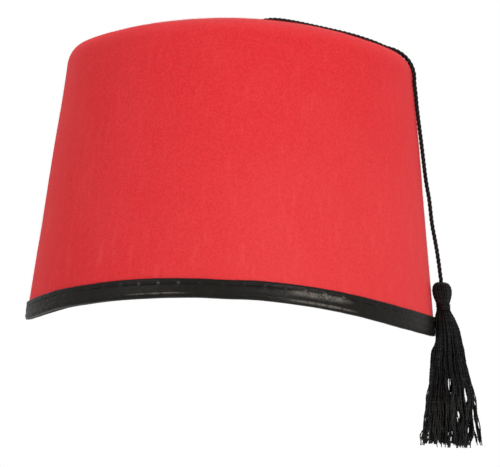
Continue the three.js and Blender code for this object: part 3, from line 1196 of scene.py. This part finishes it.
def parted(x, heights):
    """Moves strands sideways out of the skirt's partings."""
    middle = tassel_x(heights)
    for offset, height, half_length, half_width in SKIRT_PARTINGS:
        near = np.clip(1 - ((heights - height) / half_length) ** 2, 0, 1)
        away = x - middle - offset
        side = np.where(away[len(away) * 3 // 4] < 0, -1.0, 1.0)
        x = x + side * half_width * near * np.exp(-(away / 0.0018) ** 2)
    return x


def head_lines(tassel):
    """The strands over the head, from the cord down to the neck, leaning a little."""
    rng = np.random.default_rng(tassel.seed + 1)
    lines = []
    for i in range(tassel.head_strands):
        heights = np.concatenate([
            [0.0246], np.linspace(0.0244, 0.0208, 10), np.linspace(0.0202, 0.0150, 11)])
        turn = 2 * np.pi * (i + rng.normal(0, 0.12)) / tassel.head_strands
        lean = turn + 0.35 * (0.0245 - heights) / 0.0095
        radius = between(HEAD_FORM, heights) - 0.0004
        x = tassel_x(heights) + radius * np.cos(lean)
        y = TASSEL_Y + radius * np.sin(lean)
        lines.append(np.stack([x, y, heights], axis=1))
    return lines


def neck_line(tassel):
    """The thread wound round the neck."""
    rng = np.random.default_rng(tassel.seed + 2)
    steps = tassel.neck_turns * 28
    part = np.linspace(0, 1, steps)
    turn = 2 * np.pi * tassel.neck_turns * part
    height = NECK_LOW + (NECK_HIGH - NECK_LOW) * part
    wander = np.interp(part, np.linspace(0, 1, 30), rng.normal(0, 0.00010, 30))
    radius = NECK_RADIUS + wander
    x = tassel_x(height) + radius * np.cos(turn)
    y = TASSEL_Y + radius * np.sin(turn)
    return [np.stack([x, y, height], axis=1)]


def core(name, form, share, material):
    """A closed dark core behind strands, so that no light shows through their middle."""
    points = []
    for height, radius in form:
        for j in range(CORE_SIDES):
            angle = 2 * np.pi * j / CORE_SIDES
            reach = radius * share
            points.append((tassel_x(height) + reach * math.cos(angle),
                           TASSEL_Y + reach * math.sin(angle), height))
    return link_mesh(name, points, ring_faces(0, len(form), CORE_SIDES), material)


def join(target, others):
    bpy.ops.object.select_all(action="DESELECT")
    for piece in (target, *others):
        piece.select_set(True)
    bpy.context.view_layer.objects.active = target
    bpy.ops.object.join()
    return target


def pressed(line):
    """The cord's line, laid a little closer to the felt round the shoulder."""
    outer = np.clip((line[:, 0] - 0.052) / 0.014, 0, 1)
    over = outer * np.clip((line[:, 2] - 0.090) / 0.016, 0, 1)
    out = line[:, [0, 2]] - np.array([0.066, 0.112])
    out /= np.linalg.norm(out, axis=1)[:, None]
    moved = line.copy()
    moved[:, [0, 2]] -= out * (CORD_PRESS * over)[:, None]
    return moved


class FEZ_OT_cord(bpy.types.Operator):
    """Makes the twisted cord, its knot and the tassel on it"""

    bl_idname = "fez.cord"
    bl_label = "Cord and tassel"

    def execute(self, context):
        tassel = context.scene.fez_tassel
        yarn = black_yarn(tassel)
        line = pressed(smooth_route((CORD_START, *CORD_ROUTE, *CORD_IN_TASSEL), CORD_STEP))
        cord = twisted_cord(
            "tassel_cord_twist", line, tassel.cord_diameter, tassel.cord_lead, yarn)
        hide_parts("tassel_cord")
        turn = np.linspace(0, 2 * np.pi, 90)
        size = KNOT_SIZE
        loop = np.stack([
            size * (np.sin(turn) + 2 * np.sin(2 * turn)),
            size * (np.cos(turn) - 2 * np.cos(2 * turn)),
            KNOT_HEIGHT - size * np.sin(3 * turn)], axis=1)
        knot = twisted_cord("cord_knot_tied", loop, tassel.cord_diameter,
                            tassel.cord_lead, yarn)
        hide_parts("cord_knot")
        head = strands_along(
            "tassel_head_strands", head_lines(tassel), HEAD_YARN, 0.8, tassel, yarn)
        head = join(head, [core("head core", HEAD_FORM, HEAD_CORE_SHARE, yarn)])
        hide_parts("tassel_head")
        neck = strands_along(
            "tassel_neck_thread", neck_line(tassel), NECK_YARN, 0.9, tassel, yarn)
        neck = join(neck, [core("neck core", NECK_CORE, 1.0, yarn)])
        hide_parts("tassel_neck")
        skirt = strands_along(
            "tassel_skirt_strands", skirt_lines(tassel), tassel.yarn, 0.62, tassel, yarn)
        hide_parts("tassel_skirt")
        for piece in (cord, knot, head, neck, skirt):
            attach(piece, BODY)
        return {"FINISHED"}


# ---------------------------------------------------------------- stage


def area_light(name, place, aim, size, power):
    light = bpy.data.lights.new(name, "AREA")
    light.shape = "DISK"
    light.size = size
    light.energy = power
    lamp = link_object(name, light)
    lamp.location = place
    lamp.rotation_mode = "QUATERNION"
    lamp.rotation_quaternion = (Vector(aim) - Vector(place)).to_track_quat("-Z", "Y")


def white_world(seen, lit):
    """White behind the hat, and a softer white for what lights it."""
    world = bpy.data.worlds.new("studio white")
    world.use_nodes = True
    world.node_tree.nodes.clear()
    t = Tree(world.node_tree)
    path = t.add("ShaderNodeLightPath")
    strength = t.add("ShaderNodeMix", {"data_type": "FLOAT"})
    t.put(strength.inputs[0], path.outputs["Is Camera Ray"])
    strength.inputs[2].default_value = lit
    strength.inputs[3].default_value = seen
    light = t.add("ShaderNodeBackground", Color=(1.0, 1.0, 1.0, 1.0),
                  Strength=strength.outputs[0])
    t.add("ShaderNodeOutputWorld", Surface=light)
    bpy.context.scene.world = world


class FEZ_OT_stage(bpy.types.Operator):
    """Sets the camera, the floor and the soft studio light"""

    bl_idname = "fez.stage"
    bl_label = "Stage"

    def execute(self, context):
        stage = context.scene.fez_stage
        scene = context.scene
        lens = bpy.data.cameras.new("Camera")
        camera = link_object("Camera", lens)
        lens.lens = lens.sensor_width * stage.distance / stage.view_width
        lens.clip_start = 0.05
        lens.clip_end = 50.0
        aim = Vector((stage.aim_x, 0.0, stage.aim_z))
        eye = Vector((stage.aim_x, -stage.distance, stage.eye_height))
        look = (aim - eye).to_track_quat("-Z", "Y").to_matrix()
        turn = look @ Matrix.Rotation(stage.roll, 3, "Z")
        camera.matrix_world = Matrix.Translation(eye) @ turn.to_4x4()
        scene.camera = camera
        scene.view_settings.view_transform = "Standard"
        scene.view_settings.look = "None"
        white_world(WHITE_SEEN, WHITE_LIT)
        for name, place, width, power in LIGHTS:
            area_light(name, place, LIGHT_AIM, width, power)
        floor = floor_disc(stage.floor_depth)
        return {"FINISHED"}


def floor_disc(depth):
    angles = [2 * math.pi * i / FLOOR_SIDES for i in range(FLOOR_SIDES)]
    points = [(FLOOR_REACH * math.cos(a), FLOOR_REACH * math.sin(a), -depth) for a in angles]
    faces = [tuple(range(FLOOR_SIDES))]
    return link_mesh("floor", points, faces, floor_material(), smooth=False)


# ---------------------------------------------------------------- panel


class FEZ_PT_panel(bpy.types.Panel):
    """Lists the steps that make the hat, and its sizes and colours"""

    bl_idname = "FEZ_PT_panel"
    bl_label = "Felt fez"
    bl_space_type = "VIEW_3D"
    bl_region_type = "UI"
    bl_category = "Fez"

    def draw(self, context):
        layout = self.layout
        for step in STEPS:
            layout.operator(step.bl_idname)
        for label in SETTINGS:
            group = getattr(context.scene, label)
            box = layout.box()
            for key in group.__annotations__:
                box.prop(group, key)


STEPS = (FEZ_OT_stage, FEZ_OT_cord, FEZ_OT_crown, FEZ_OT_binding)
SETTINGS = {
    "fez_crown": FezCrownSettings,
    "fez_binding": FezBindingSettings,
    "fez_tassel": FezTasselSettings,
    "fez_stage": FezStageSettings,
}


def register():
    for group in SETTINGS.values():
        bpy.utils.register_class(group)
    for label, group in SETTINGS.items():
        setattr(bpy.types.Scene, label, PointerProperty(type=group))
    for kind in (*STEPS, FEZ_PT_panel):
        bpy.utils.register_class(kind)


def unregister():
    for kind in reversed((*STEPS, FEZ_PT_panel)):
        bpy.utils.unregister_class(kind)
    for label, group in SETTINGS.items():
        delattr(bpy.types.Scene, label)
        bpy.utils.unregister_class(group)


def main():
    register()
    bpy.ops.fez.stage()
    bpy.ops.fez.cord()
    bpy.ops.fez.crown()
    bpy.ops.fez.binding()


if __name__ == "__main__":
    main()
